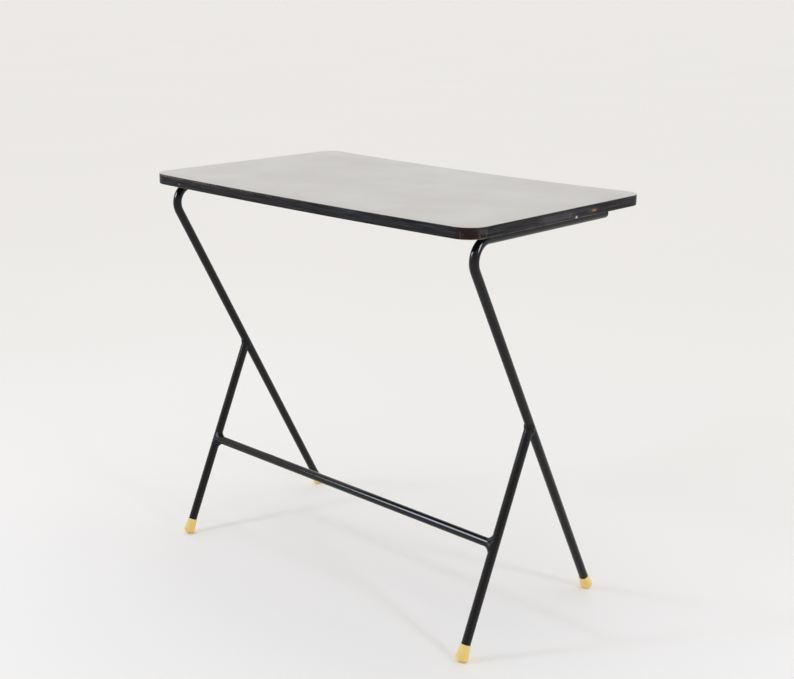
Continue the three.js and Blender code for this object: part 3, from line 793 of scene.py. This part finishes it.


# Plasticised vinyl, moulded: satin, slightly see-through so that light softens in it, yellowed
# unevenly, paler at the rim and darker towards the floor.
vinyl, tree = new_material("yellowed_vinyl")
coords = node(tree, "ShaderNodeTexCoord")
height = node(tree, "ShaderNodeSeparateXYZ", {"Vector": coords.outputs["Object"]})
yellowing_size, base_ripple = 0.008, 0.006
rim_fade, base_fade = (0.014, 0.026), (0.0065, 0.0030)
yellowing = node(tree, "ShaderNodeTexNoise", {
    "Vector": coords.outputs["Object"], "Scale": 1 / yellowing_size, "Detail": 4})
cream = node(tree, "ShaderNodeMix", {
    0: yellowing.outputs["Fac"], 6: linear("#f7cc62"), 7: linear("#fce190")}, data_type="RGBA")
rim_part = node(tree, "ShaderNodeMapRange", {
    "Value": height.outputs["Z"], "From Min": rim_fade[0], "From Max": rim_fade[1], "To Max": 0.35})
paler = node(tree, "ShaderNodeMix", {
    0: rim_part.outputs[0], 6: cream.outputs[2], 7: linear("#f8e2a0")}, data_type="RGBA")
# The foot is made darker over its lowest few millimetres, up to a wavy line.
base_edge = node(tree, "ShaderNodeMath", {
    0: yellowing.outputs["Fac"], 1: base_ripple, 2: height.outputs["Z"]}, operation="MULTIPLY_ADD")
darker_base_part = node(tree, "ShaderNodeMapRange", {
    "Value": base_edge.outputs[0], "From Min": base_fade[0], "From Max": base_fade[1], "To Max": 0.7})
darkened_base = node(tree, "ShaderNodeMix", {
    0: darker_base_part.outputs[0], 6: paler.outputs[2], 7: linear("#b8954f")}, data_type="RGBA")
bump = node(tree, "ShaderNodeBump", {
    "Height": yellowing.outputs["Fac"], "Strength": 0.08, "Distance": 0.0006})
shader = node(tree, "ShaderNodeBsdfPrincipled", {
    "Base Color": darkened_base.outputs[2], "Roughness": 0.42, "IOR": 1.5, "Subsurface Weight": 0.25,
    "Subsurface Scale": 0.003, "Subsurface Radius": (1.0, 0.7, 0.35), "Normal": bump.outputs[0]})
node(tree, "ShaderNodeOutputMaterial", {"Surface": shader.outputs[0]})

# In millimetres: from the hollow under the sole, round the base, up the flare to the rim and down the socket.
foot_length, foot_radius, foot_rim, socket_radius, sole, edge_round = 25.6, 9.7, 8.2, 7.1, 5.0, 4.5
worn_depth = 0.6
foot_profile = [(0, 0.5), (2.6, 0.5), (3.4, 0), (foot_radius - edge_round, 0)]
foot_profile += [(foot_radius - edge_round + edge_round * math.sin(a), edge_round - edge_round * math.cos(a))
                 for a in np.radians((15, 30, 45, 60, 75, 90))]
foot_profile += [(foot_radius, 7), (foot_radius - 0.25, 10.5), (foot_radius - 0.75, 15.5),
                 (foot_rim + 0.3, 20.6), (foot_rim + 0.1, 23.2), (foot_rim + 0.1, foot_length - 0.9),
                 (foot_rim - 0.05, foot_length - 0.35), (foot_rim - 0.4, foot_length - 0.05),
                 (foot_rim - 0.7, foot_length), (socket_radius, foot_length - 0.3),
                 (socket_radius, sole), (0, sole)]
one_foot = turned("one_foot", foot_profile, sides=64)


# Middle of a foot's base: as far up the leg as lets its lower edge meet the floor, less what has worn off.
def foot_base(floor_point, leg_direction):
    lean = math.hypot(leg_direction.x, leg_direction.y)
    reach_below = (foot_radius - edge_round) * lean + edge_round * (1 - leg_direction.z)
    return floor_point + leg_direction * ((reach_below - worn_depth) / 1000 / leg_direction.z)


for side, shift in both_sides:
    for end, floor_point, direction in (("rear", rear_floor, leg_up), ("front", front_floor, front_up)):
        place = foot_base(floor_point, direction) + shift
        cap = repeated(f"{side}_{end}_cap", [(place, direction)], one_foot, vinyl, sharp_angle=50)
        for vertex in cap.data.vertices:
            vertex.co.z = max(vertex.co.z, 0)
        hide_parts(f"{side}_{end}_foot")
bpy.data.objects.remove(one_foot)


# Rail plugs: stoppers moulded in black plastic, with a rounded head that covers the tube's cut edge. They are
# tapped into the rear ends of the rails and hold by their grip.

# Moulded plastic: black, with fine scuffs that make its shine patchy.
plug_plastic, tree = new_material("black_moulded_plastic")
coords = node(tree, "ShaderNodeTexCoord")
scuff_size = 0.003
scuffs = node(tree, "ShaderNodeTexNoise", {
    "Vector": coords.outputs["Object"], "Scale": 1 / scuff_size, "Detail": 5})
tone = node(tree, "ShaderNodeMix", {
    0: scuffs.outputs["Fac"], 6: linear("#151516"), 7: linear("#242426")}, data_type="RGBA")
dull = node(tree, "ShaderNodeMapRange", {"Value": scuffs.outputs["Fac"], "To Min": 0.35, "To Max": 0.6})
bump = node(tree, "ShaderNodeBump", {"Height": scuffs.outputs["Fac"], "Strength": 0.1, "Distance": 0.0002})
shader = node(tree, "ShaderNodeBsdfPrincipled", {
    "Base Color": tone.outputs[2], "Roughness": dull.outputs[0], "Normal": bump.outputs[0]})
node(tree, "ShaderNodeOutputMaterial", {"Surface": shader.outputs[0]})
plug_head, plug_round, plug_radius, stem_radius, stem_length, stem_lead = 3.3, 2.5, 7, 5.3, 10, 0.3
head_step, head_crown = 0.02, 0.12
plug_profile = [(0, -stem_length), (stem_radius - stem_lead, -stem_length), (stem_radius, -stem_length + 0.4),
                (stem_radius, 0), (plug_radius, head_step)]
plug_profile += [(plug_radius - plug_round + plug_round * math.cos(a),
                  plug_head - plug_round + plug_round * math.sin(a))
                 for a in np.radians((0, 15, 30, 45, 60, 75, 90))]
plug_profile += [(2, plug_head + 0.1), (0, plug_head + head_crown)]
one_plug = turned("one_plug", plug_profile, sides=48)
rail_end = Vector((0, rail_end_y, rail_height))
for side, shift in both_sides:
    plug = repeated(f"{side}_plug", [(rail_end + shift, Vector((0, 1, 0)))], one_plug, plug_plastic,
                    sharp_angle=40)
    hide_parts(f"{side}_rail_plug")
bpy.data.objects.remove(one_plug)


# Screws: slotted round-head wood screws of plain steel, three to a rail. They sit inside the tube, on its
# upper wall, and are driven up into the board through the holes in the lower one.

# Plain drawn steel: a soft grey metal, tarnished in small patches that dull its shine.
plain_steel, tree = new_material("plain_steel")
coords = node(tree, "ShaderNodeTexCoord")
tarnish_size = 0.002
tarnish = node(tree, "ShaderNodeTexNoise", {
    "Vector": coords.outputs["Object"], "Scale": 1 / tarnish_size, "Detail": 5})
tone = node(tree, "ShaderNodeMix", {
    0: tarnish.outputs["Fac"], 6: linear("#8d8a84"), 7: linear("#b9b6b0")}, data_type="RGBA")
dull = node(tree, "ShaderNodeMapRange", {"Value": tarnish.outputs["Fac"], "To Min": 0.25, "To Max": 0.5})
shader = node(tree, "ShaderNodeBsdfPrincipled", {
    "Base Color": tone.outputs[2], "Roughness": dull.outputs[0], "Metallic": 1.0})
node(tree, "ShaderNodeOutputMaterial", {"Surface": shader.outputs[0]})
head_radius, head_height, shank_radius, point_length = 3.5, 2.6, 1.75, 4
bore_radius, head_sink, board_left_over = 5.5, 0.3, 4
screw_seat = rail_height * 1000 + math.sqrt(bore_radius ** 2 - head_radius ** 2) - head_sink
screw_length = core_top * 1000 - board_left_over - screw_seat + head_height
screw_profile = [(head_radius * math.sin(a), head_height - head_height * math.cos(a))
                 for a in np.radians((0, 12, 25, 38, 50, 62, 74, 86))]
screw_profile += [(head_radius, head_height), (shank_radius, head_height),
                  (shank_radius, screw_length - point_length), (0.3, screw_length - 0.2), (0, screw_length)]
one_screw = turned("one_screw", screw_profile, sides=32)
slot_reach, slot_height, slot_radius = 0.005, -0.0002, 0.0012
run = (Vector((0, -slot_reach, slot_height)), Vector((0, slot_reach, slot_height)), slot_radius)
slot_cutter = rods("slot", [run], sides=4)
slot_cut = one_screw.modifiers.new("slot", "BOOLEAN")
slot_cut.object = slot_cutter
slot_cut.solver = "EXACT"
keep_result(one_screw)
bpy.data.objects.remove(slot_cutter)
screw_foot = (screw_seat - head_height) / 1000
for side, shift in both_sides:
    places = [(shift + Vector((0, y, screw_foot)), Vector((0, 0, 1))) for y in screw_rows]
    screws = repeated(f"{side}_screws", places, one_screw, plain_steel, sharp_angle=35)
    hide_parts(*[f"{side}_screw_{k}" for k in (1, 2, 3)])
bpy.data.objects.remove(one_screw)
